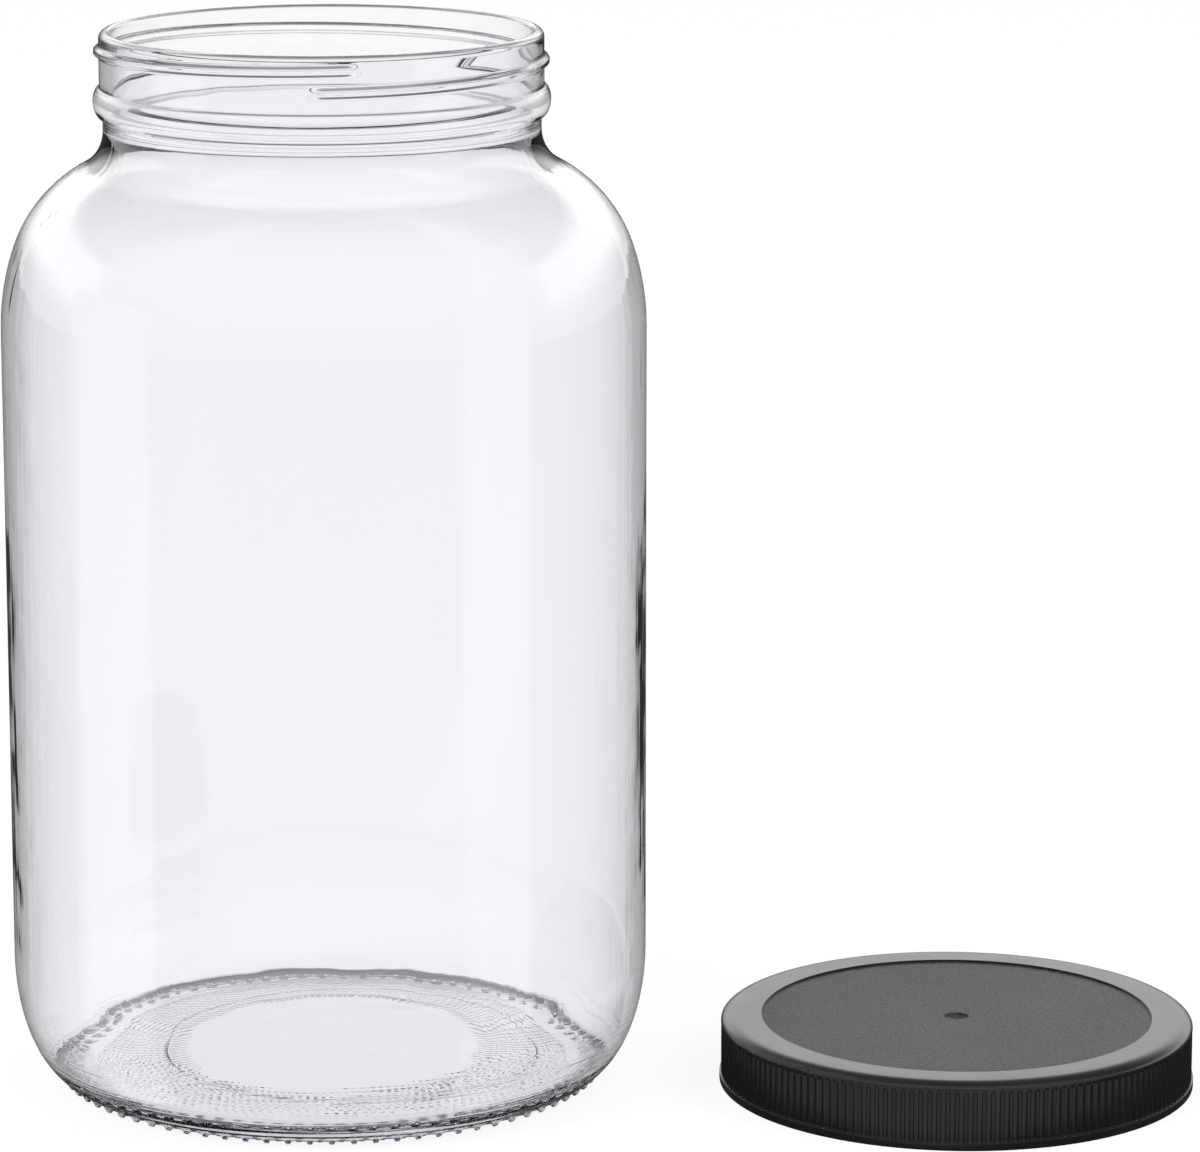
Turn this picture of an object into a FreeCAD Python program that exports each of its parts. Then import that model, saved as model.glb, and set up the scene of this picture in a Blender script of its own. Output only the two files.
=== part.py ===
"""Wide-mouth glass storage jar of the one-gallon size, with its ribbed plastic screw lid lying beside it.

Millimetres, +Z up. Z = 0 is the surface that the jar and the lid stand on, the jar's front faces -Y, and
the origin is the middle of the floor that the pair covers. Both pieces are turned round their own Z axis.
"""
import FreeCAD, Part
import math
import os

V = FreeCAD.Vector

# Jar: body and shoulder
JAR_HEIGHT = 256.0
BODY_R = 77.3
WALL = 3.4
SHOULDER_UPPER_R = 34.5     # the tight upper curve of the shoulder
SHOULDER_LOWER_R = 60.0     # the slow curve that leads from the straight body into it
SHOULDER_LOWER_TURN = 19.0  # degrees that the slow curve turns through
NECK_FLARE_R = 10.0         # hollow curve from the neck into the shoulder

# Jar: base
HEEL_WIDTH = 15.0           # from the resting ring's outer edge out to the body
HEEL_HEIGHT = 31.0
REST_RING_WIDTH = 3.5
PUSH_UP = 4.6               # height of the hollow under the middle of the base
PUSH_UP_RIM = 0.6           # its height where the dome meets the curve up from the ring
RING_CURVE_WIDTH = 2.8      # width of that curve
BASE_THICK = 5.3
HEEL_THICK = 5.2            # glass above the resting ring
INNER_HEEL_WIDTH = 8.0
INNER_HEEL_HEIGHT = 22.0
INNER_CURVE_WIDTH = 11.4    # from the inner floor's dome out to the inner heel
MIDDLE_FLAT_R = 4.0         # flat spot in the middle of the dome, above and below

# Jar: screw finish, measured down from the rim
FINISH_R = 52.9
FINISH_WALL = 3.0
LIP_OUTER_R = 1.7
LIP_INNER_R = 1.1
THREAD_PITCH = 5.08
THREAD_HEIGHT = 1.25
THREAD_RIDGE_R = 1.3        # radius of the ridge's round section
THREAD_TURN = 368.0         # degrees
THREAD_END_DROP = 3.3       # rim to the middle of the ridge's upper end
THREAD_END_ANGLE = -80.3    # direction of that end, seen from above
BEAD_DROP = 16.9            # rim to the middle of the transfer bead
BEAD_PROUD = 1.9            # beyond the finish
BEAD_HALF_HEIGHT = 3.3
NECK_INSET = 0.7            # the neck is this much slimmer than the finish
NECK_LENGTH = 3.4           # straight neck under the bead
INNER_FLARE_DROP = 1.2      # the inside starts to widen this much below the outside

# Lid
LID_REACH = 0.4             # screwed on, its open edge is this far below the upper edge of the bead
LID_WALL = 2.1              # skirt, behind the grooves
LID_TOP_THICK = 1.9
LID_THREAD_GAP = 0.6        # between the jar's thread and the lid's wall
LID_THREAD_HEIGHT = 1.1
LID_THREAD_RIDGE_R = 1.15
LID_THREAD_TURN = 350.0     # degrees
LID_THREAD_START = 3.2      # lower end, above the lid's open edge
LID_SHOULDER_WIDTH = 3.6    # rounded edge between the top and the ribs
LID_SHOULDER_DROP = 1.7
BAND_HEIGHT = 2.0           # plain band at the open edge
BAND_PROUD = 0.35
RIB_COUNT = 168
RIB_HEIGHT = 0.6
RIB_SHARE = 0.56            # of the pitch that a rib takes, the rest being groove
TOP_RING_WIDTH = 6.35       # glossy flat ring round the panel
PANEL_DEPTH = 0.5
GATE_R = 3.0
GATE_DEPTH = 0.45

LID_GAP = 18.0              # between the jar's body and the lid
LID_FORWARD = 12.0          # the lid's middle is this far in front of the jar's

# Sizes that follow
MOUTH_R = FINISH_R - FINISH_WALL
NECK_R = FINISH_R - NECK_INSET
BEAD_R = FINISH_R + BEAD_PROUD
THREAD_CREST_R = FINISH_R + THREAD_HEIGHT
LID_BORE_R = THREAD_CREST_R + LID_THREAD_GAP
LID_ROOT_R = LID_BORE_R + LID_WALL
LID_RIB_R = LID_ROOT_R + RIB_HEIGHT
LID_OUTER_R = LID_RIB_R + BAND_PROUD
LID_TOP_R = LID_RIB_R - LID_SHOULDER_WIDTH
LID_HEIGHT = BEAD_DROP - BEAD_HALF_HEIGHT + LID_REACH + LID_TOP_THICK + PANEL_DEPTH
PANEL_R = LID_TOP_R - TOP_RING_WIDTH
SPAN = 2 * BODY_R + LID_GAP + 2 * LID_OUTER_R
JAR_AT = V(BODY_R - SPAN / 2, 0, 0)
LID_AT = V(SPAN / 2 - LID_OUTER_R, -LID_FORWARD, 0)
HEEL_R = BODY_R - HEEL_WIDTH
RING_R = HEEL_R - REST_RING_WIDTH
INNER_BODY_R = BODY_R - WALL
INNER_HEEL_R = INNER_BODY_R - INNER_HEEL_WIDTH


class Outline:
    """A line in the XZ plane, drawn from point to point, then turned round the Z axis to a solid."""

    def __init__(self, r, z):
        self.edges = []
        self.at = V(r, 0, z)

    def add(self, edge, end):
        self.edges.append(edge)
        self.at = end

    def to(self, r, z):
        end = V(r, 0, z)
        self.add(Part.LineSegment(self.at, end).toShape(), end)

    def arc(self, centre_r, centre_z, radius, start, stop):
        """An arc of a circle between two angles in degrees, 0 outwards and 90 up."""
        def point(degrees):
            a = math.radians(degrees)
            return V(centre_r + radius * math.cos(a), 0, centre_z + radius * math.sin(a))
        end = point(stop)
        self.add(Part.Arc(self.at, point((start + stop) / 2), end).toShape(), end)

    def quarter(self, r, z, level_first):
        """A quarter of an ellipse, level where it starts and upright where it ends, or the reverse."""
        end = V(r, 0, z)
        level, upright = (self.at, end) if level_first else (end, self.at)
        centre = V(level.x, 0, upright.z)
        tips = sorted((level, upright), key=lambda tip: -(tip - centre).Length)
        ellipse = Part.Ellipse(*tips, centre)
        first, last = sorted(ellipse.parameter(tip) for tip in tips)
        if last - first > math.pi:
            first, last = last, first + 2 * math.pi
        self.add(ellipse.toShape(first, last), end)

    def ease(self, r, z, slope_here, slope_there, reach=0.5):
        """A smooth S or bow to a point, with the outline's slope dz/dr given at each end."""
        end = V(r, 0, z)
        run = end.x - self.at.x
        curve = Part.BezierCurve()
        curve.setPoles([self.at, self.at + V(run * reach, 0, run * reach * slope_here),
                        end - V(run * reach, 0, run * reach * slope_there), end])
        self.add(curve.toShape(), end)

    def bow(self, end_r, edge_r, edge_z, rise):
        """An arc of the flat dome that stands rise over its edge and is level on the axis."""
        radius = (edge_r ** 2 + rise ** 2) / (2 * rise)
        def on_dome(r):
            return V(r, 0, edge_z + rise - radius + math.sqrt(radius ** 2 - r ** 2))
        end = on_dome(end_r)
        self.add(Part.Arc(self.at, on_dome((self.at.x + end_r) / 2), end).toShape(), end)

    def turned(self):
        wire = Part.Wire(self.edges)
        return Part.Face(wire).revolve(V(0, 0, 0), V(0, 0, 1), 360)


def dome_slope(edge_r, rise):
    """Slope dz/dr of a dome's arc at its edge."""
    radius = (edge_r ** 2 + rise ** 2) / (2 * rise)
    return -edge_r / math.sqrt(radius ** 2 - edge_r ** 2)


def shoulder(body_r, neck_r, flare_r, upper_r, lower_r, turn):
    """Centres of the shoulder's three arcs, as radius and depth under the top of the flare.

    The hollow flare starts upright at the neck. The tight curve touches it, and the slow curve goes on
    from the tight one after the given turn and ends upright at the body.
    """
    lower_centre_r = body_r - lower_r
    upper_centre_r = lower_centre_r + (lower_r - upper_r) * math.cos(turn)
    flare_centre_r = neck_r + flare_r
    reach = flare_r + upper_r
    upper_depth = math.sqrt(reach ** 2 - (flare_centre_r - upper_centre_r) ** 2)
    lower_depth = upper_depth + (lower_r - upper_r) * math.sin(turn)
    meet = math.degrees(math.atan2(upper_depth, flare_centre_r - upper_centre_r))
    return flare_centre_r, upper_centre_r, upper_depth, lower_centre_r, lower_depth, meet


def round_ridge(at_radius, ridge_r, pitch, turn, start_angle, start_z):
    """A screw ridge: a round bar on a helix, with ball ends, rising anticlockwise seen from above."""
    height = pitch * turn / 360
    helix = Part.makeHelix(pitch, height, at_radius)
    first = helix.Edges[0].firstVertex().Point
    lead = V(0, 2 * math.pi * at_radius, pitch)
    section = Part.Wire(Part.Circle(first, lead, ridge_r).toShape())
    bar = Part.Wire(helix.Edges).makePipeShell([section], True, True)
    ends = []
    for share in (0, 1):
        a = math.radians(turn * share)
        ends.append(Part.makeSphere(ridge_r, V(at_radius * math.cos(a), at_radius * math.sin(a),
                                               height * share)))
    bar = bar.fuse(ends)
    bar.rotate(V(0, 0, 0), V(0, 0, 1), start_angle)
    bar.translate(V(0, 0, start_z))
    return bar


def make_jar():
    turn = math.radians(SHOULDER_LOWER_TURN)
    bead_z = JAR_HEIGHT - BEAD_DROP
    neck_z = bead_z - BEAD_HALF_HEIGHT - NECK_LENGTH

    # Base: from the resting ring in to the axis along the underside, then out along the floor
    dome_r = RING_R - RING_CURVE_WIDTH
    floor_r = INNER_HEEL_R - INNER_CURVE_WIDTH
    rise = PUSH_UP - PUSH_UP_RIM
    out = Outline(RING_R, 0)
    out.ease(dome_r, PUSH_UP_RIM, 0, dome_slope(dome_r, rise))
    out.bow(MIDDLE_FLAT_R, dome_r, PUSH_UP_RIM, rise)
    out.to(0, out.at.z)
    out.to(0, PUSH_UP + BASE_THICK)
    out.to(MIDDLE_FLAT_R, PUSH_UP + BASE_THICK)
    out.bow(floor_r, floor_r, PUSH_UP_RIM + BASE_THICK, rise)
    out.ease(INNER_HEEL_R, HEEL_THICK, dome_slope(floor_r, rise), 0)

    # Inside, up to the mouth
    inner_z = neck_z - INNER_FLARE_DROP
    flare_r, upper_r, upper_depth, lower_r, lower_depth, meet = shoulder(
        INNER_BODY_R, MOUTH_R, NECK_FLARE_R + WALL, SHOULDER_UPPER_R - WALL, SHOULDER_LOWER_R - WALL, turn)
    out.quarter(INNER_BODY_R, HEEL_THICK + INNER_HEEL_HEIGHT, True)
    out.to(INNER_BODY_R, inner_z - lower_depth)
    out.arc(lower_r, inner_z - lower_depth, SHOULDER_LOWER_R - WALL, 0, SHOULDER_LOWER_TURN)
    out.arc(upper_r, inner_z - upper_depth, SHOULDER_UPPER_R - WALL, SHOULDER_LOWER_TURN, meet)
    out.arc(flare_r, inner_z, NECK_FLARE_R + WALL, meet + 180, 180)
    out.to(MOUTH_R, JAR_HEIGHT - LIP_INNER_R)

    # Lip, finish, transfer bead and neck, down the outside
    out.arc(MOUTH_R + LIP_INNER_R, JAR_HEIGHT - LIP_INNER_R, LIP_INNER_R, 180, 90)
    out.to(FINISH_R - LIP_OUTER_R, JAR_HEIGHT)
    out.arc(FINISH_R - LIP_OUTER_R, JAR_HEIGHT - LIP_OUTER_R, LIP_OUTER_R, 90, 0)
    out.to(FINISH_R, bead_z + BEAD_HALF_HEIGHT)
    out.quarter(BEAD_R, bead_z, True)
    out.quarter(NECK_R, bead_z - BEAD_HALF_HEIGHT, False)
    out.to(NECK_R, neck_z)

    # Shoulder, body and heel
    flare_r, upper_r, upper_depth, lower_r, lower_depth, meet = shoulder(
        BODY_R, NECK_R, NECK_FLARE_R, SHOULDER_UPPER_R, SHOULDER_LOWER_R, turn)
    out.arc(flare_r, neck_z, NECK_FLARE_R, 180, meet + 180)
    out.arc(upper_r, neck_z - upper_depth, SHOULDER_UPPER_R, meet, SHOULDER_LOWER_TURN)
    out.arc(lower_r, neck_z - lower_depth, SHOULDER_LOWER_R, SHOULDER_LOWER_TURN, 0)
    out.to(BODY_R, HEEL_HEIGHT)
    out.quarter(HEEL_R, 0, False)
    out.to(RING_R, 0)
    jar = out.turned()

    ridge_at = THREAD_CREST_R - THREAD_RIDGE_R
    start_z = JAR_HEIGHT - THREAD_END_DROP - THREAD_PITCH * THREAD_TURN / 360
    ridge = round_ridge(ridge_at, THREAD_RIDGE_R, THREAD_PITCH, THREAD_TURN,
                        THREAD_END_ANGLE - THREAD_TURN, start_z)
    core = Part.makeCylinder((MOUTH_R + FINISH_R) / 2, JAR_HEIGHT)
    jar = jar.fuse(ridge.cut(core))
    jar.translate(JAR_AT)
    return jar


def rib_ring():
    """The ribbed skirt: one outline of round-nosed ribs and flat-bottomed grooves, drawn up."""
    pitch = 2 * math.pi / RIB_COUNT
    half_rib = pitch * RIB_SHARE / 2

    def point(r, a):
        return V(r * math.cos(a), r * math.sin(a), 0)
    edges = []
    for i in range(RIB_COUNT):
        a = i * pitch
        stop = point(LID_ROOT_R, a + half_rib)
        edges.append(Part.Arc(point(LID_ROOT_R, a - half_rib), point(LID_RIB_R, a), stop).toShape())
        edges.append(Part.LineSegment(stop, point(LID_ROOT_R, a + pitch - half_rib)).toShape())
    rib_top = LID_HEIGHT - LID_SHOULDER_DROP
    ring = Part.Face(Part.Wire(edges)).extrude(V(0, 0, rib_top - BAND_HEIGHT / 2))
    ring.translate(V(0, 0, BAND_HEIGHT / 2))
    return ring.cut(Part.makeCylinder(LID_BORE_R + LID_WALL / 2, LID_HEIGHT))


def make_lid():
    shoulder_z = LID_HEIGHT - LID_SHOULDER_DROP
    out = Outline(LID_BORE_R, 0)
    out.to(LID_OUTER_R, 0)
    out.to(LID_OUTER_R, BAND_HEIGHT)
    out.to(LID_ROOT_R, BAND_HEIGHT)
    out.to(LID_ROOT_R, shoulder_z - RIB_HEIGHT)
    out.to(LID_RIB_R, shoulder_z)
    out.quarter(LID_TOP_R, LID_HEIGHT, False)
    out.to(PANEL_R, LID_HEIGHT)
    out.to(PANEL_R, LID_HEIGHT - PANEL_DEPTH)
    out.to(GATE_R, LID_HEIGHT - PANEL_DEPTH)
    out.to(GATE_R, LID_HEIGHT - PANEL_DEPTH - GATE_DEPTH)
    out.to(0, LID_HEIGHT - PANEL_DEPTH - GATE_DEPTH)
    out.to(0, LID_HEIGHT - PANEL_DEPTH - LID_TOP_THICK)
    out.to(LID_BORE_R, LID_HEIGHT - PANEL_DEPTH - LID_TOP_THICK)
    out.to(LID_BORE_R, 0)
    lid = out.turned().fuse(rib_ring())

    ridge_at = LID_BORE_R - LID_THREAD_HEIGHT + LID_THREAD_RIDGE_R
    ridge = round_ridge(ridge_at, LID_THREAD_RIDGE_R, THREAD_PITCH, LID_THREAD_TURN, 0, LID_THREAD_START)
    keep = Part.makeCylinder(LID_BORE_R + LID_WALL / 2, LID_HEIGHT)
    lid = lid.fuse(ridge.common(keep))
    lid.translate(LID_AT)
    return lid


os.makedirs("parts", exist_ok=True)
for name, shape in (("jar", make_jar()), ("lid", make_lid())):
    solid = shape.removeSplitter().Solids[0]
    print(name, "solids", len(shape.Solids), "valid", solid.isValid(), "cm3 %.1f" % (solid.Volume / 1000))
    solid.exportStep("parts/%s.step" % name)
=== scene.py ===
import math

import bpy
import numpy as np
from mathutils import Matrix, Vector


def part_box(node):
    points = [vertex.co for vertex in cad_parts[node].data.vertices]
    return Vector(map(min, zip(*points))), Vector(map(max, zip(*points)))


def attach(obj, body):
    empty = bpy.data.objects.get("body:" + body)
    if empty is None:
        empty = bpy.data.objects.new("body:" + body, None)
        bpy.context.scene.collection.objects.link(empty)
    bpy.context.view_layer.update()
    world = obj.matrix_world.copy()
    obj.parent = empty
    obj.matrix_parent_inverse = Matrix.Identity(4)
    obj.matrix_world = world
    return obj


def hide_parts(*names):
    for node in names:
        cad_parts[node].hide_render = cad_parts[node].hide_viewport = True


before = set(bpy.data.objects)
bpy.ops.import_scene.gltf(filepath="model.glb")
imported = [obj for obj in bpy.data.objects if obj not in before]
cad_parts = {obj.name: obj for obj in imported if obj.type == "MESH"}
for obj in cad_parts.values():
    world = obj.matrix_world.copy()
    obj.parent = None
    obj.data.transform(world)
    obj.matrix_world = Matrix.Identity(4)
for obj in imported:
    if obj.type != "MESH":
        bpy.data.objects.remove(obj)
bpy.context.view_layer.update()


# ---------------------------------------------------------------------------------------------
# Jar: one blow-moulded piece of clear soda-lime glass, with an uneven wall of about 3.4 mm.
# It is an outline turned round the upright axis, and Geometry Nodes then mould the screw thread,
# the stippled underside, the two rows of little domes and the waves of the wall into it.

jar_low, jar_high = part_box("jar")
jar_x, jar_y = (jar_low.x + jar_high.x) / 2, (jar_low.y + jar_high.y) / 2
body_r = (jar_high.x - jar_low.x) / 2
jar_top = jar_high.z

wall = 0.0034
inner_r = body_r - wall
neck_r, finish_r, mouth_r = 0.0522, 0.0529, 0.0499

# Base: the resting ring and the heel outside, the pushed-up middle, the floor and the heel inside
ring_z = 0.0004                     # the inner row of domes stands this far out of the resting ring
ring_in_r, ring_out_r = 0.0588, 0.0623
heel_top = 0.0310
push_up_r, push_up_z, push_up_rise = 0.0560, 0.0006, 0.0040
floor_r, floor_z = 0.0545, 0.0059
inner_heel_r, inner_heel_z, inner_heel_top = 0.0659, 0.0052, 0.0276
under_top, under_r = 0.0049, 0.0679         # the underside's pattern stays within these

# Neck and finish: the bead under the thread, the rim's rounding and the screw thread itself
neck_z, inner_neck_z = 0.2324, 0.2312
bead_z, bead_proud, bead_half = 0.2391, 0.0019, 0.0036
lip_out, lip_in = 0.0017, 0.0011
thread_pitch, thread_turn, thread_start = 0.00508, 368.0, -88.3     # the last two in degrees
thread_end_drop = 0.0033            # how far the thread's upper end lies below the rim

# The shoulder's slow curve, its tight curve and the hollow flare up to the neck:
# centre radius, centre height, radius.
slow_out, slow_in = (0.0173, 0.18476, 0.0600), (0.0173, 0.18416, 0.0566)
tight_out, tight_in = (0.04141, 0.19306, 0.0345), (0.04141, 0.19246, 0.0311)
flare_out, flare_in = (0.0622, neck_z, 0.0100), (0.0633, inner_neck_z, 0.0134)
slow_turn = 19.0
shoulder_meet = math.degrees(math.atan2(flare_out[1] - tight_out[1], flare_out[0] - tight_out[0]))

# Dots and domes: the spacing of the rows and columns of points that they are moulded from
dots_round, dot_rings, dot_step, dot_first_r = 140, 13, 0.0006, 0.03760
dot_rows = 3                        # rows of points to a ring of dots; the last two rings stay bare
domes_round, dome_points, dome_step, dome_first_r = 80, 12, 0.00055, 0.06125
dome_rows_r = (0.0629, 0.0662)
dome_columns, dome_half = 7, 2      # columns of points from dome to dome, and to each side of one
jar_columns = dome_columns * domes_round

# The line that the mould's baffle plate leaves round the base, a little off its middle
baffle_r, baffle_shift, baffle_width, baffle_waver = 0.0450, 0.0050, 0.0004, 0.0008

glass_colour, glass_tint = (0.972, 0.967, 0.987, 1.0), (0.30, 0.27, 0.45, 1.0)
ripple_height, drawn_height, lap_height, baffle_height = 0.00016, 0.00003, 0.00035, 0.00018
full_turn = 2 * math.pi


class Outline:
    """The rings of a turned piece, drawn from point to point: radius, height and points round it."""

    def __init__(self, columns):
        self.rings, self.columns = [], columns

    def at(self, r, z):
        self.rings.append((r, z, self.columns))

    def pole(self, z):
        self.rings.append((0.0, z, 1))

    def line(self, r, z, steps=1):
        r0, z0, _ = self.rings[-1]
        for k in range(1, steps + 1):
            self.at(r0 + (r - r0) * k / steps, z0 + (z - z0) * k / steps)

    def arc(self, centre_r, centre_z, radius, start, stop, steps, high=None):
        """From one angle to another, 0 outwards and 90 up. high is the upright radius of an ellipse."""
        for k in range(1, steps + 1):
            a = math.radians(start + (stop - start) * k / steps)
            self.at(centre_r + radius * math.cos(a), centre_z + (high or radius) * math.sin(a))

    def corner(self, r, z, toward_r, toward_z, radius, steps=3):
        """Rounds the corner at (r, z) towards a later point, with a ring close before and after it."""
        r0, z0, _ = self.rings[-1]
        a = np.array((r0 - r, z0 - z)) / math.hypot(r0 - r, z0 - z)
        b = np.array((toward_r - r, toward_z - z)) / math.hypot(toward_r - r, toward_z - z)
        for k in (-1, *range(steps + 1), steps + 1):
            if k in (-1, steps + 1):
                out = (a if k < 0 else b) * radius * 1.5
            else:
                t = k / steps
                out = a * radius * (1 - t) ** 2 + b * radius * t ** 2
            self.at(r + out[0], z + out[1])


def dome_line(r, edge_r, edge_z, rise):
    """Height at radius r of a flat dome that stands rise over its edge."""
    radius = (edge_r ** 2 + rise ** 2) / (2 * rise)
    return edge_z + rise - radius + math.sqrt(radius ** 2 - r ** 2)


def bowed(start, end, slope_start, slope_end, steps=24):
    """Points of a smooth bow between two points, with the slope at each end."""
    (r0, z0), (r1, z1) = start, end
    half = (r1 - r0) / 2
    poles = ((r0, z0), (r0 + half, z0 + half * slope_start), (r1 - half, z1 - half * slope_end), (r1, z1))
    share = [k / steps for k in range(steps + 1)]
    weights = [((1 - t) ** 3, 3 * t * (1 - t) ** 2, 3 * t * t * (1 - t), t ** 3) for t in share]
    return [tuple(sum(w * p[i] for w, p in zip(ws, poles)) for i in (0, 1)) for ws in weights]


def underside(r):
    """Height of the jar's underside at radius r: push-up dome, curve, resting ring, heel."""
    if r <= push_up_r:
        return dome_line(r, push_up_r, push_up_z, push_up_rise)
    if r <= ring_in_r:
        slope = -2 * push_up_rise / push_up_r
        bow = bowed((push_up_r, push_up_z), (ring_in_r, ring_z), slope, 0)
        return float(np.interp(r, [p[0] for p in bow], [p[1] for p in bow]))
    if r <= ring_out_r:
        return ring_z
    share = (r - ring_out_r) / (body_r - ring_out_r)
    return heel_top - (heel_top - ring_z) * math.sqrt(1 - share ** 2)


def turned_mesh(name, rings, centre, angles):
    """A closed skin round an upright axis. A ring may have half or twice its neighbour's points."""
    points, rows, faces = [], [], []
    for r, z, count in rings:
        rows.append((len(points), count if r else 1))
        step = len(angles) // count
        for a in angles[::step] if r else angles[:1]:
            points.append((centre[0] + r * math.cos(a), centre[1] + r * math.sin(a), z))
    for (low, n), (high, m) in zip(rows, rows[1:]):
        for k in range(min(n, m) if min(n, m) > 1 else max(n, m)):
            a, b = low + k % n, low + (k + 1) % n
            c, d = high + k % m, high + (k + 1) % m
            if n == m:
                faces.append((a, b, d, c))
            elif n == 1:
                faces.append((low, d, c))
            elif m == 1:
                faces.append((a, b, high))
            elif m == 2 * n:
                c, middle, d = (high + (2 * k + i) % m for i in (0, 1, 2))
                faces += [(a, b, middle), (b, d, middle), (a, middle, c)]
            else:
                a, middle, b = (low + (2 * k + i) % n for i in (0, 1, 2))
                faces += [(a, middle, c), (middle, b, d), (middle, d, c)]
    mesh = bpy.data.meshes.new(name)
    mesh.from_pydata(points, [], faces)
    mesh.shade_smooth()
    return mesh


class Wire:
    """One output of a node. Sums written with it add Math nodes to the same tree."""

    def __init__(self, socket):
        self.socket, self.tree = socket, socket.id_data

    @staticmethod
    def node(tree, kind, settings, values, outputs=0):
        """Adds a node: settings first, then the values or links of its sockets."""
        made = tree.nodes.new(kind)
        for key, value in settings.items():
            setattr(made, key, value)
        for key, value in values.items():
            if isinstance(value, Wire):
                tree.links.new(value.socket, made.inputs[key])
            else:
                made.inputs[key].default_value = value
        if isinstance(outputs, tuple):
            return tuple(Wire(made.outputs[key]) for key in outputs)
        return Wire(made.outputs[outputs]) if made.outputs else None

    def do(self, operation, *others):
        values = dict(enumerate((self, *others)))
        return Wire.node(self.tree, "ShaderNodeMath", {"operation": operation}, values)

    def __add__(self, other):
        return self.do("ADD", other)

    def __sub__(self, other):
        return self.do("SUBTRACT", other)

    def __rsub__(self, first):
        return Wire.node(self.tree, "ShaderNodeMath", {"operation": "SUBTRACT"}, {0: first, 1: self})

    def __mul__(self, other):
        return self.do("MULTIPLY", other)

    __radd__, __rmul__ = __add__, __mul__

    def __truediv__(self, other):
        return self.do("DIVIDE", other)

    def __pow__(self, other):
        return self.do("POWER", other)

    def __neg__(self):
        return self * -1.0

    def __abs__(self):
        return self.do("ABSOLUTE")

    def __lt__(self, other):
        return self.do("LESS_THAN", other)

    def __gt__(self, other):
        return self.do("GREATER_THAN", other)

    def limited(self):
        """Held between 0 and 1."""
        return self.do("MAXIMUM", 0.0).do("MINIMUM", 1.0)

    def eased(self, start, stop):
        """0 before start, 1 after stop, and smooth between them."""
        return Wire.node(self.tree, "ShaderNodeMapRange", {"interpolation_type": "SMOOTHSTEP"},
                         {"Value": self, "From Min": start, "From Max": stop})

    def across(self, other):
        """Length of the slanted side over this one and the other."""
        return (self * self + other * other).do("SQRT")


def empty_nodes(owner):
    """The node tree of a material or a world, with its first nodes taken out."""
    owner.use_nodes = True
    owner.node_tree.nodes.clear()
    return owner.node_tree


def noise(place, scale, detail=1.0):
    """Even noise between 0 and 1, for a material."""
    values = {"Vector": place, "Scale": scale, "Detail": detail}
    return Wire.node(place.tree, "ShaderNodeTexNoise", {}, values, "Fac")


def scaled(place, scale):
    """The place with each of its directions scaled, so that noise on it is drawn out."""
    return Wire.node(place.tree, "ShaderNodeMapping", {}, {"Vector": place, "Scale": scale})


def mould_tree(name, sizes):
    """A Geometry Nodes tree with a named input for each size. Returns it and the wires of its sizes."""
    tree = bpy.data.node_groups.new(name, "GeometryNodeTree")
    tree.interface.new_socket("Geometry", in_out="INPUT", socket_type="NodeSocketGeometry")
    tree.interface.new_socket("Geometry", in_out="OUTPUT", socket_type="NodeSocketGeometry")
    for size in sizes:
        tree.interface.new_socket(size, in_out="INPUT", socket_type="NodeSocketFloat")
    names = ("Geometry", *sizes)
    wires = Wire.node(tree, "NodeGroupInput", {}, {}, names)
    return tree, dict(zip(names, wires))


def moulded(name, mesh, tree, sizes, shape, offset, material):
    """Moves the mesh's points by the offset, gives it its material and returns it as a plain object."""
    shape = Wire.node(tree, "GeometryNodeSetPosition", {}, {"Geometry": shape, "Offset": offset})
    shape = Wire.node(tree, "GeometryNodeRealizeInstances", {}, {"Geometry": shape})
    shape = Wire.node(tree, "GeometryNodeSetMaterial", {}, {"Geometry": shape, "Material": material})
    Wire.node(tree, "NodeGroupOutput", {}, {"Geometry": shape})
    piece = bpy.data.objects.new(name, mesh)
    bpy.context.scene.collection.objects.link(piece)
    modifier = piece.modifiers.new("mould", "NODES")
    modifier.node_group = tree
    for socket in tree.interface.items_tree:
        if socket.in_out == "INPUT" and socket.name in sizes:
            modifier[socket.identifier] = float(sizes[socket.name])
    graph = bpy.context.evaluated_depsgraph_get()
    plain = bpy.data.meshes.new_from_object(piece.evaluated_get(graph))
    piece.modifiers.clear()
    piece.data = plain
    plain.name = name
    return piece


def around(tree, centre):
    """Position round an upright axis: x and y from it, height, radius and angle."""
    place = Wire.node(tree, "GeometryNodeInputPosition", {}, {})
    x, y, z = Wire.node(tree, "ShaderNodeSeparateXYZ", {}, {0: place}, ("X", "Y", "Z"))
    x, y = x - centre[0], y - centre[1]
    return place, x, y, z, x.across(y), y.do("ARCTAN2", x)


def screw_ridge(angle, z, size):
    """How far a moulded thread stands out: a smooth ridge on a helix, with rounded ends."""
    past = (angle - size["Thread start angle"]).do("FLOORED_MODULO", full_turn)
    rise = size["Thread pitch"] / full_turn
    nearest = None
    for lap in (-1, 0, 1):
        along = past + lap * full_turn
        on_ridge = along.do("MAXIMUM", 0.0).do("MINIMUM", size["Thread turn"])
        up = z - size["Thread start height"] - on_ridge * rise
        gap = up.across((along - on_ridge) * size["Thread radius"])
        nearest = gap if nearest is None else nearest.do("MINIMUM", gap)
    return (1 - (nearest / size["Thread half width"]).eased(0.2, 1.0)) * size["Thread height"]


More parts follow.
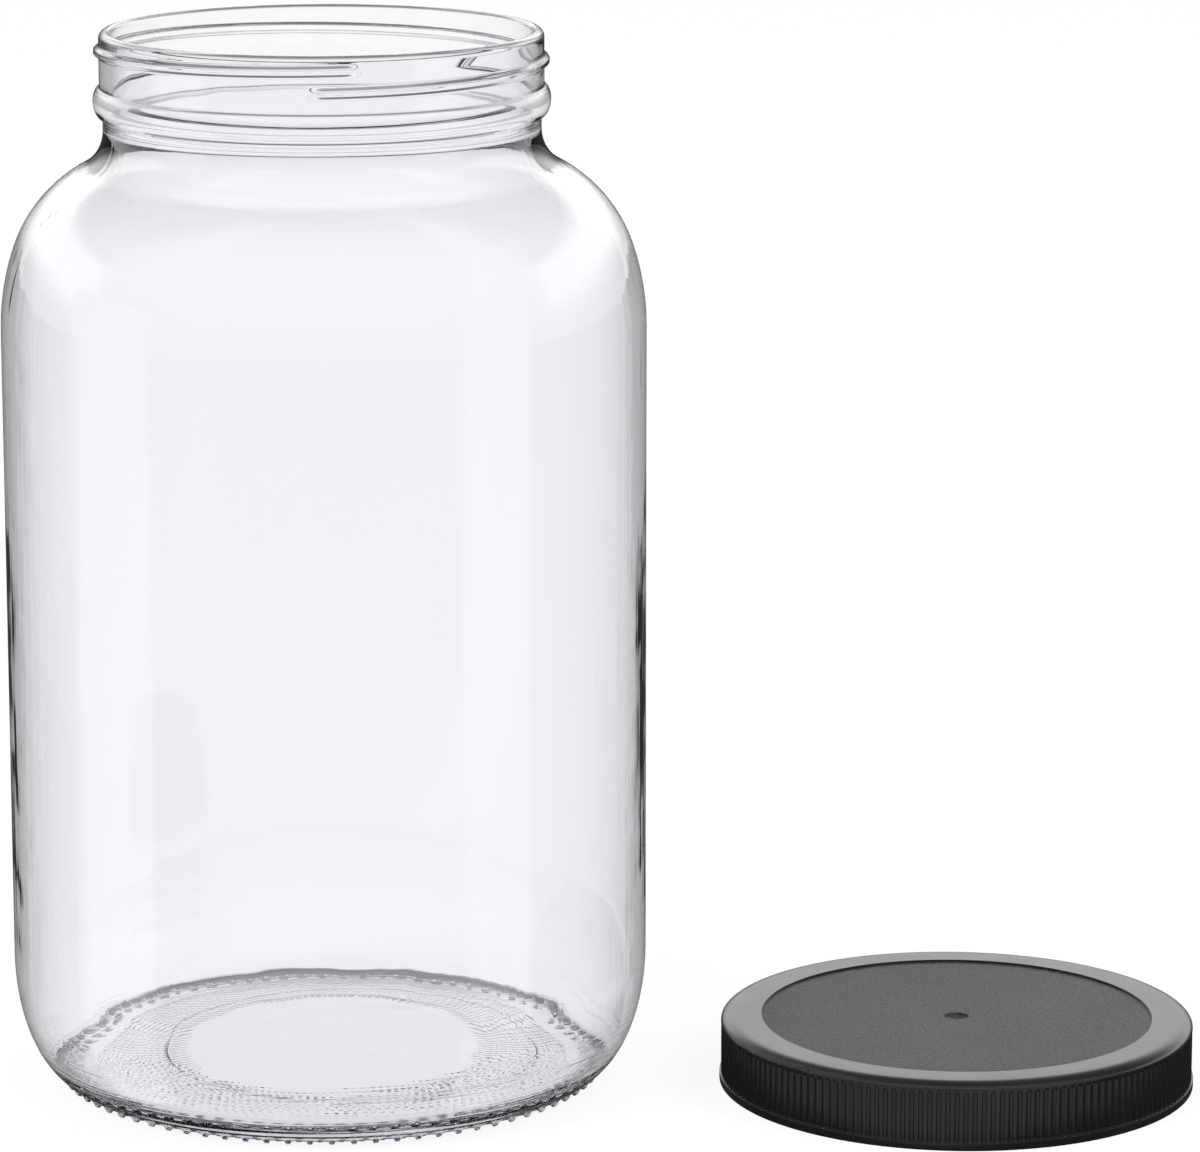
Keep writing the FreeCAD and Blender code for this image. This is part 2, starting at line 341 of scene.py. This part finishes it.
jar_sizes = {
    "Axis X": jar_x, "Axis Y": jar_y,
    "Thread radius": finish_r, "Thread pitch": thread_pitch, "Thread height": 0.00125,
    "Thread half width": 0.00165, "Thread turn": math.radians(thread_turn),
    "Thread start angle": math.radians(thread_start),
    "Thread start height": jar_top - thread_end_drop - thread_pitch * thread_turn / 360,
    "Dots round a ring": dots_round, "First ring of dots": dot_first_r + dot_step,
    "Ring pitch": dot_rows * dot_step, "Rings of dots": dot_rings - 2,
    "Dot radius": 0.00045, "Dot height": 0.00026,
    "Domes round a row": domes_round, "Dome radius": 0.00113, "Dome cell": dome_half * dome_step,
    "Inner dome row": dome_rows_r[0], "Inner dome height": 0.0004,
    "Outer dome row": dome_rows_r[1], "Outer dome height": 0.0010,
    "Waves inside": 0.00030, "Waves outside": 0.00004,
}
jar_tree, size = mould_tree("Jar mould", jar_sizes)
place, x, y, z, r, angle = around(jar_tree, (size["Axis X"], size["Axis Y"]))
normal = Wire.node(jar_tree, "GeometryNodeInputNormal", {}, {})
nx, ny, nz = Wire.node(jar_tree, "ShaderNodeSeparateXYZ", {}, {0: normal}, ("X", "Y", "Z"))

outside_finish = (r > (mouth_r + finish_r) / 2) * (z > bead_z + bead_half)
thread = screw_ridge(angle, z, size) * outside_finish

# Dots in rings on the underside, each ring half a step round from the last
under = (nz < -0.3) * (z < under_top) * (r < under_r)
ring = ((r - size["First ring of dots"]) / size["Ring pitch"]).do("ROUND")
dr = r - size["First ring of dots"] - ring * size["Ring pitch"]
turn = angle / full_turn * size["Dots round a ring"] + (ring * 0.5).do("FRACT")
da = (turn - turn.do("ROUND")) * r * full_turn / size["Dots round a ring"]
in_rings = (ring > -0.5) * (ring < size["Rings of dots"] - 0.5)
swell = 1 - (dr.across(da) / size["Dot radius"]) ** 2
dots = swell.limited() * size["Dot height"] * in_rings * under

# Two rows of domes: the square of points round each one is drawn in to a circle. The outer row's
# domes lie three columns of points round from the inner row's.
drop, slide, shift = dots, None, None
for row, first in (("Inner", 0.0), ("Outer", 3 / dome_columns)):
    turn = angle / full_turn * size["Domes round a row"] + first
    u = (turn - turn.do("ROUND")) * (dome_columns / dome_half)
    v = (r - size[row + " dome row"]) / size["Dome cell"]
    square = abs(u).do("MAXIMUM", abs(v))
    inside = (square < 1.001) * under
    pull = square / (u.across(v) + 0.0001) * size["Dome radius"]
    now_at = u * (dome_half / dome_columns) * full_turn / size["Domes round a row"] * r
    across = (u * pull - now_at) * inside
    out = (v * pull - v * size["Dome cell"]) * inside
    cap = (1 - square * square).limited().do("SQRT") * size[row + " dome height"] * inside
    drop = drop + cap
    slide = across if slide is None else slide + across
    shift = out if shift is None else shift + out

# The wall's waves, drawn out upwards, much deeper inside than out
facing = (nx * x + ny * y) / (r + 0.0001)
streaks = Wire.node(jar_tree, "ShaderNodeVectorMath", {"operation": "MULTIPLY"},
                    {0: place, 1: (1.0, 1.0, 0.4)})
swing = Wire.node(jar_tree, "ShaderNodeTexNoise", {"noise_dimensions": "3D"},
                  {"Vector": streaks, "Scale": 26.0, "Detail": 1.0, "Roughness": 0.4}, "Fac") - 0.5
below_neck = 1 - z.eased(0.2150, 0.2330)
waves = swing * 2.0 * below_neck * ((-facing).limited() * size["Waves inside"]
                                    + facing.limited() * size["Waves outside"])

along_x, along_y = x / (r + 0.0001), y / (r + 0.0001)
outward = thread + shift
jar_offset = Wire.node(jar_tree, "ShaderNodeCombineXYZ", {}, {
    "X": outward * along_x - slide * along_y + waves * nx,
    "Y": outward * along_y + slide * along_x + waves * ny,
    "Z": waves * nz - drop})

# Glass: ripples all over, lines drawn up the body, laps round the heel and the baffle's line
clear_glass = bpy.data.materials.new("clear glass")
nodes = empty_nodes(clear_glass)
spot = Wire.node(nodes, "ShaderNodeTexCoord", {}, {}, "Object")
x, y, z = Wire.node(nodes, "ShaderNodeSeparateXYZ", {}, {0: spot}, ("X", "Y", "Z"))
r = (x - jar_x).across(y - jar_y)
ripple = noise(spot, 60.0)
drawn = noise(scaled(spot, (1.0, 1.0, 0.06)), 320.0)
laps = noise(scaled(spot, (0.025, 0.025, 1.0)), 800.0)
on_body = z.eased(0.010, 0.040) * (1 - z.eased(0.225, 0.238))
on_heel = (1 - z.eased(0.006, 0.022)) * r.eased(0.0670, 0.0685)
from_baffle = abs((x - jar_x - baffle_shift).across(y - jar_y) - baffle_r + laps * baffle_waver)
baffle = (1 - from_baffle / baffle_width).limited() * (z < under_top)
height = ripple * ripple_height + drawn * on_body * drawn_height
height = height + laps * on_heel * lap_height + baffle * baffle_height
relief = Wire.node(nodes, "ShaderNodeBump", {}, {"Strength": 1.0, "Distance": 1.0, "Height": height})
glass = Wire.node(nodes, "ShaderNodeBsdfPrincipled", {}, {
    "Base Color": glass_colour, "Roughness": 0.0, "IOR": 1.5, "Transmission Weight": 1.0, "Normal": relief})
tint = Wire.node(nodes, "ShaderNodeVolumeAbsorption", {}, {"Color": glass_tint, "Density": 3.0})
Wire.node(nodes, "ShaderNodeOutputMaterial", {}, {"Surface": glass, "Volume": tint})

# Outline, from the middle of the underside up the outside, over the rim and down to the floor's
# middle. Rings under the dots and domes have all the points, and the others a half or fewer.
line = Outline(jar_columns)
line.pole(underside(0.0))
for r_mm, part in ((4, 8), (10, 8), (16, 4), (22, 4), (27, 2), (31, 2), (33.5, 1)):
    line.columns = jar_columns // part
    line.at(r_mm / 1000, underside(r_mm / 1000))
for k in range(dot_rows * dot_rings):
    line.at(dot_first_r + k * dot_step, underside(dot_first_r + k * dot_step))
for k in range(1, dome_points + 1):
    line.at(dome_first_r + k * dome_step, underside(dome_first_r + k * dome_step))
heel_r = dome_first_r + dome_points * dome_step
heel_from = -math.degrees(math.acos((heel_r - ring_out_r) / (body_r - ring_out_r)))
line.columns = jar_columns // 2
line.arc(ring_out_r, heel_top, body_r - ring_out_r, heel_from, 0, 16, heel_top - ring_z)
line.line(body_r, slow_out[1], 16)
line.arc(*slow_out, 0, slow_turn, 6)
line.arc(*tight_out, slow_turn, shoulder_meet, 12)
line.arc(*flare_out, 180 + shoulder_meet, 180, 8)
line.line(neck_r, bead_z - bead_half)
bead_points = 16
for k in range(1, bead_points + 1):
    a = math.pi * (k / bead_points - 0.5)
    wall_r = neck_r + (finish_r - neck_r) * k / bead_points
    line.at(wall_r + bead_proud * math.cos(a), bead_z + bead_half * math.sin(a))
line.line(finish_r, jar_top - lip_out, 60)
line.arc(finish_r - lip_out, jar_top - lip_out, lip_out, 0, 90, 6)
line.line(mouth_r + lip_in, jar_top)
line.arc(mouth_r + lip_in, jar_top - lip_in, lip_in, 90, 180, 5)
line.line(mouth_r, inner_neck_z, 8)
line.arc(*flare_in, 180, 180 + shoulder_meet, 8)
line.arc(*tight_in, shoulder_meet, slow_turn, 10)
line.arc(*slow_in, slow_turn, 0, 5)
line.line(inner_r, inner_heel_top, 16)
line.arc(inner_heel_r, inner_heel_top, inner_r - inner_heel_r, 0, -90, 14, inner_heel_top - inner_heel_z)
floor_slope = -2 * push_up_rise / floor_r
for r_here, z_here in bowed((inner_heel_r, inner_heel_z), (floor_r, floor_z), 0, floor_slope, 8)[1:]:
    line.at(r_here, z_here)
for r_mm, part in ((50, 2), (44, 2), (38, 2), (31, 4), (24, 4), (17, 8), (10, 8), (4, 8)):
    line.columns = jar_columns // part
    line.at(r_mm / 1000, dome_line(r_mm / 1000, floor_r, floor_z, push_up_rise))
line.pole(dome_line(0.0, floor_r, floor_z, push_up_rise))

jar_angles = [full_turn * k / jar_columns for k in range(jar_columns)]
jar_skin = turned_mesh("jar skin", line.rings, (jar_x, jar_y), jar_angles)
jar = moulded("jar_glass", jar_skin, jar_tree, jar_sizes, size["Geometry"], jar_offset, clear_glass)
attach(jar, "root")
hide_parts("jar")


# ---------------------------------------------------------------------------------------------
# Lid: one injection-moulded piece of black polypropylene, lying beside the jar on its open edge.
# Its skirt has 168 ribs over a plain band, and its top a glossy ring round a grained panel with
# the mark of the mould's gate. Geometry Nodes cut the grooves and raise the thread inside.

lid_low, lid_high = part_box("lid")
lid_x, lid_y = (lid_low.x + lid_high.x) / 2, (lid_low.y + lid_high.y) / 2
lid_r = (lid_high.x - lid_low.x) / 2
lid_top = lid_high.z

ribs = 168
band_proud, band_top = 0.00035, 0.0020
rib_r = lid_r - band_proud
shoulder_width, shoulder_drop = 0.0036, 0.0017
panel_r, panel_drop = 0.0475, 0.0005
panel_z = lid_top - panel_drop
gate_r, gate_wall = 0.0030, 0.0001
gate_z = panel_z - 0.00045
foot_round, band_round, step_round, panel_round, gate_round = 0.0001, 0.00025, 0.00015, 0.00012, 0.00008
bore_r, inside_top, inside_round, bore_foot = 0.05475, 0.0140, 0.0004, 0.0006

# The grey colours the panel's grain specks and also its painted sheen
plastic_black, speck_and_sheen_grey = (0.006, 0.006, 0.0062, 1.0), (0.055, 0.055, 0.057, 1.0)
gloss_rough, panel_rough, grain_height = 0.24, 0.26, 0.00012

lid_sizes = {
    "Axis X": lid_x, "Axis Y": lid_y, "Ribs": ribs, "Rib radius": rib_r,
    "Groove depth": 0.0006, "Groove half width": 0.00045, "Groove wall": 0.00012,
    "Groove top": 0.0142, "Groove bottom": band_top, "Rib hollow": 0.00012,
    "Thread radius": bore_r, "Thread pitch": thread_pitch, "Thread height": 0.0011,
    "Thread half width": 0.0017, "Thread turn": math.radians(350.0),
    "Thread start angle": 0.0, "Thread start height": 0.0032,
}
lid_tree, size = mould_tree("Lid mould", lid_sizes)
_, x, y, z, r, angle = around(lid_tree, (size["Axis X"], size["Axis Y"]))

# Grooves with rounded upper ends leave the ribs, whose faces are hollowed a little
turn = angle / full_turn * size["Ribs"]
from_rib = 0.5 - abs(turn - turn.do("FLOOR") - 0.5)
pitch = full_turn * size["Rib radius"] / size["Ribs"]
sideways = (0.5 - from_rib) * pitch
over_end = (z - (size["Groove top"] - size["Groove half width"])).do("MAXIMUM", 0.0)
gap = sideways.across(over_end)
deep = 1 - ((gap - size["Groove half width"]) / size["Groove wall"]).limited()
on_skirt = (z > size["Groove bottom"] + 0.00002) * (r > bore_r + 0.0012)
hollow = ((1 - from_rib * 2) ** 2) * size["Rib hollow"] * (z < size["Groove top"] + 0.0003)
cut = (deep * size["Groove depth"]).do("MAXIMUM", hollow) * on_skirt
in_bore = (r < bore_r + 0.0002) * (z > bore_foot) * (z < inside_top - inside_round)
inward = screw_ridge(angle, z, size) * in_bore
shrink = -(cut + inward)
lid_offset = Wire.node(lid_tree, "ShaderNodeCombineXYZ", {}, {
    "X": shrink * x / (r + 0.0001), "Y": shrink * y / (r + 0.0001), "Z": 0.0})

# Plastic: glossy, but duller on the top panel, which has a fine grain and grey specks. The panel is also
# painted a lighter grey all over, a painted sheen for the light that its rough face mirrors.
black_plastic = bpy.data.materials.new("black plastic")
nodes = empty_nodes(black_plastic)
spot = Wire.node(nodes, "ShaderNodeTexCoord", {}, {}, "Object")
spot = Wire.node(nodes, "ShaderNodeMapping", {}, {"Vector": spot, "Location": (-lid_x, -lid_y, 0.0)})
x, y, z = Wire.node(nodes, "ShaderNodeSeparateXYZ", {}, {0: spot}, ("X", "Y", "Z"))
r = x.across(y)
on_panel = (1 - r.eased(panel_r - 0.0002, panel_r)) * (z > lid_top - 0.0015)
grain = noise(spot, 1500.0)
cloud = noise(spot, 55.0, 3.0)
rough = gloss_rough + cloud * 0.08 + on_panel * panel_rough
# Faint random tone all over, and on the panel grey grain specks on a tone lightened as painted sheen
specks_and_painted_sheen = cloud * 0.1 + on_panel * (grain * 4.0 - 1.35).limited()
colour = Wire.node(nodes, "ShaderNodeMix", {"data_type": "RGBA"}, {
    0: specks_and_painted_sheen, 6: plastic_black, 7: speck_and_sheen_grey}, 2)
relief = Wire.node(nodes, "ShaderNodeBump", {}, {
    "Strength": 1.0, "Distance": grain_height, "Height": grain * (on_panel * 0.97 + 0.03)})
plastic = Wire.node(nodes, "ShaderNodeBsdfPrincipled", {}, {
    "Base Color": colour, "Roughness": rough, "IOR": 1.49, "Normal": relief})
Wire.node(nodes, "ShaderNodeOutputMaterial", {}, {"Surface": plastic})

# Outline, from the middle of the inside down the bore, round the open edge and up over the top.
# Each rib has eight columns of points, at these shares of its width, and fewer further in.
places = (0.0, 0.17, 0.27, 0.335, 0.5, 0.665, 0.73, 0.83)
lid_angles = [full_turn * (k + share) / ribs for k in range(ribs) for share in places]
line = Outline(ribs)
line.pole(inside_top)
for r_mm, each in ((4, 1), (16, 1), (28, 1), (40, 2), (50, 2)):
    line.columns = ribs * each
    line.at(r_mm / 1000, inside_top)
line.corner(bore_r, inside_top, bore_r, 0, inside_round)
line.line(bore_r, bore_foot, 44)
line.columns = ribs * 4
line.at(bore_r, 0.0003)
line.columns = ribs * 8
line.corner(bore_r, 0.0, lid_r, 0.0, foot_round, 1)
line.corner(lid_r, 0.0, lid_r, band_top, band_round)
line.corner(lid_r, band_top, rib_r, band_top, step_round)
line.at(rib_r, band_top)
skirt_rows = (2.06, 2.3, 4, 7, 10, 12.5, 13.4)
groove_end_rows = (13.65, 13.75, 13.85, 13.95, 14.05, 14.15, 14.25, 14.4)
for z_mm in skirt_rows + groove_end_rows:
    line.at(rib_r, z_mm / 1000)
line.at(rib_r, lid_top - shoulder_drop)
line.arc(rib_r - shoulder_width, lid_top - shoulder_drop, shoulder_width, 0, 90, 10, shoulder_drop)
line.columns = ribs * 4
line.line(panel_r + 0.0012, lid_top, 2)
line.corner(panel_r, lid_top, panel_r, panel_z, step_round)
line.corner(panel_r, panel_z, 0.0, panel_z, panel_round)
for r_mm, each in ((45, 4), (38, 2), (28, 2), (16, 1), (8, 1), (4, 1)):
    line.columns = ribs * each
    line.at(r_mm / 1000, panel_z)
line.corner(gate_r, panel_z, gate_r - gate_wall, gate_z, panel_round)
line.corner(gate_r - gate_wall, gate_z, 0.0, gate_z - 0.0006, gate_round)
line.at(0.0010, gate_z - 0.0004)
line.pole(gate_z - 0.0005)
lid_skin = turned_mesh("lid skin", line.rings, (lid_x, lid_y), lid_angles)
lid = moulded("lid_cap", lid_skin, lid_tree, lid_sizes, size["Geometry"], lid_offset, black_plastic)
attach(lid, "root")
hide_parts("lid")


# ---------------------------------------------------------------------------------------------
# Stage: a plain white floor, a white surround, two upright soft boxes that show only as
# reflections, soft lamps, and the camera in front, a little above the jar's rim.

white, pale_grey, dark_grey = (1.0, 1.0, 1.0, 1.0), (0.7, 0.7, 0.7, 1.0), (0.15, 0.15, 0.15, 1.0)
reach = 12.0


def rays(tree):
    """Masks: rays straight from the camera, rays through glass, those turned back in it, mirrored ones."""
    straight, through, glossy, turned = Wire.node(tree, "ShaderNodeLightPath", {}, {}, (
        "Is Camera Ray", "Is Transmission Ray", "Is Glossy Ray", "Glossy Depth"))
    return straight, through, through * (turned > 0.5), glossy * (1 - through)


floor_mesh = bpy.data.meshes.new("floor")
floor_mesh.from_pydata([(-reach, -reach, 0), (reach, -reach, 0), (reach, reach, 0), (-reach, reach, 0)],
                       [], [(0, 1, 2, 3)])
floor = bpy.data.objects.new("floor", floor_mesh)
bpy.context.scene.collection.objects.link(floor)
floor_paint = bpy.data.materials.new("white floor")
nodes = empty_nodes(floor_paint)
straight, through, inner, mirrored = rays(nodes)

# Seen straight the floor glows white and takes the shadows. Through the glass it stays white at a
# flat angle and turns dark at a steep one, and rays turned back in the glass find it darker still.
# Mirrored rays meet a dim floor, and all other light meets plain matt paint.
flat = Wire.node(nodes, "ShaderNodeLayerWeight", {}, {"Blend": 0.5}, "Facing")
level = (0.10 + (flat.eased(0.31, 0.60) + straight).limited() * 0.78) * (1 - inner * 0.45)
glow = Wire.node(nodes, "ShaderNodeEmission", {}, {"Color": level, "Strength": 1.0})
shadow = Wire.node(nodes, "ShaderNodeBsdfDiffuse", {}, {"Color": dark_grey})
bright = Wire.node(nodes, "ShaderNodeAddShader", {}, {0: shadow, 1: glow})
matt = Wire.node(nodes, "ShaderNodeBsdfDiffuse", {}, {"Color": pale_grey})
dim = Wire.node(nodes, "ShaderNodeEmission", {}, {"Color": white, "Strength": 0.06})
seen = (straight + through).limited()
shown = Wire.node(nodes, "ShaderNodeMixShader", {}, {0: seen, 1: matt, 2: bright})
shown = Wire.node(nodes, "ShaderNodeMixShader", {}, {0: mirrored, 1: shown, 2: dim})
Wire.node(nodes, "ShaderNodeOutputMaterial", {}, {"Surface": shown})
floor_mesh.materials.append(floor_paint)

world = bpy.data.worlds.new("white surround")
bpy.context.scene.world = world
nodes = empty_nodes(world)
straight, through, inner, mirrored = rays(nodes)
way = Wire.node(nodes, "ShaderNodeTexCoord", {}, {}, "Generated")
_, y, z = Wire.node(nodes, "ShaderNodeSeparateXYZ", {}, {0: way}, ("X", "Y", "Z"))

# Mirrored rays meet a bright band low behind the jar, and in front a soft light that grows upwards
behind = 0.25 + z.eased(0.02, 0.24) * 1.95 - z.eased(0.38, 0.52) * 2.00
before = 0.25 + z.eased(0.05, 0.50) * 0.60
band = before + (behind - before) * y.eased(-0.15, 0.15)

# Seen straight the surround is white. Through the glass it darkens upwards, but not to rays that
# were turned back in it.
level = 1 - through * (1 - inner) * z.eased(0.20, 0.50) * 0.88
backdrop = Wire.node(nodes, "ShaderNodeBackground", {}, {"Color": level, "Strength": 1.0})
mirrored_in = Wire.node(nodes, "ShaderNodeBackground", {}, {"Color": band, "Strength": 1.0})
fill = Wire.node(nodes, "ShaderNodeBackground", {}, {"Color": white, "Strength": 0.7})
shown = Wire.node(nodes, "ShaderNodeMixShader", {}, {0: mirrored, 1: fill, 2: mirrored_in})
seen = (straight + through).limited()
shown = Wire.node(nodes, "ShaderNodeMixShader", {}, {0: seen, 1: shown, 2: backdrop})
Wire.node(nodes, "ShaderNodeOutputWorld", {}, {"Surface": shown})


def soft_box(name, start, stop, strength, distance=0.45, height=0.30):
    """A glowing sheet that leads from the jar's foot out to a standing box.

    start and stop are the angles of the wall points that mirror its two sides, measured from the
    front and positive to the left. It fades out over the two columns at each side.
    """
    off_floor = 0.0003
    sides = []
    for degrees in (start, stop):
        a, out = math.radians(degrees), math.radians(2 * degrees)
        wall_at = (jar_x - body_r * math.sin(a), -body_r * math.cos(a))
        foot = (wall_at[0] - distance * math.sin(out), wall_at[1] - distance * math.cos(out))
        sides.append((wall_at, foot))
    points, faces = [], []
    across = 12
    for k in range(across + 1):
        t = k / across
        near, foot = ([a + (b - a) * t for a, b in zip(sides[0][i], sides[1][i])] for i in (0, 1))
        points += [(*near, off_floor), (*foot, off_floor), (*foot, height)]
    for k in range(across):
        a = 3 * k
        faces += [(a, a + 1, a + 4, a + 3), (a + 1, a + 2, a + 5, a + 4)]
    mesh = bpy.data.meshes.new(name)
    mesh.from_pydata(points, [], faces)
    strength_at = mesh.attributes.new("strength", "FLOAT", "POINT")
    fade = [min(1.0, 0.75 * min(k // 3, across - k // 3)) for k in range(len(points))]
    strength_at.data.foreach_set("value", fade)
    sheet = bpy.data.objects.new(name, mesh)
    bpy.context.scene.collection.objects.link(sheet)
    sheet.visible_camera = sheet.visible_diffuse = sheet.visible_shadow = False
    paint = bpy.data.materials.new(name)
    nodes = empty_nodes(paint)
    _, _, inner, mirrored = rays(nodes)
    fades = Wire.node(nodes, "ShaderNodeAttribute", {"attribute_name": "strength"}, {}, "Fac")
    fades = fades * (inner + mirrored).limited()
    glow = Wire.node(nodes, "ShaderNodeEmission", {}, {"Color": white, "Strength": strength})
    clear = Wire.node(nodes, "ShaderNodeBsdfTransparent", {}, {})
    shown = Wire.node(nodes, "ShaderNodeMixShader", {}, {0: fades, 1: clear, 2: glow})
    Wire.node(nodes, "ShaderNodeOutputMaterial", {}, {"Surface": shown})
    mesh.materials.append(paint)


soft_box("left box", 30, 50, 0.9)
soft_box("right box", -25, -41, 0.7)


def lamp(name, place, watts, target=(0, 0, 0.1), width=1.0):
    """A round soft lamp, turned to the target and not seen in the glass."""
    data = bpy.data.lights.new(name, "AREA")
    data.shape, data.size, data.energy = "DISK", width, watts
    made = bpy.data.objects.new(name, data)
    bpy.context.scene.collection.objects.link(made)
    made.location = place
    way = Vector(target) - Vector(place)
    made.rotation_euler = way.to_track_quat("-Z", "Y").to_euler()
    made.visible_glossy = made.visible_transmission = made.visible_camera = False


lamp("left lamp", (-1.4, -1.0, 1.5), 22)
lamp("right lamp", (1.5, -0.6, 1.4), 14)

camera_data = bpy.data.cameras.new("camera")
camera_data.sensor_width, camera_data.lens = 36.0, 173.7
camera_data.clip_end = 50.0
camera = bpy.data.objects.new("camera", camera_data)
bpy.context.scene.collection.objects.link(camera)
camera_tilt = 12.305                # degrees that the camera looks down
camera.location = (-0.0007, -1.370, 0.422)
camera.rotation_euler = (math.radians(90 - camera_tilt), 0, 0)
bpy.context.scene.camera = camera

bpy.context.scene.view_settings.view_transform = "Standard"

# Long paths, because light passes many faces of glass in the jar's base
bpy.context.scene.cycles.glossy_bounces = 8
bpy.context.scene.cycles.transmission_bounces = 16
bpy.context.scene.cycles.max_bounces = 20
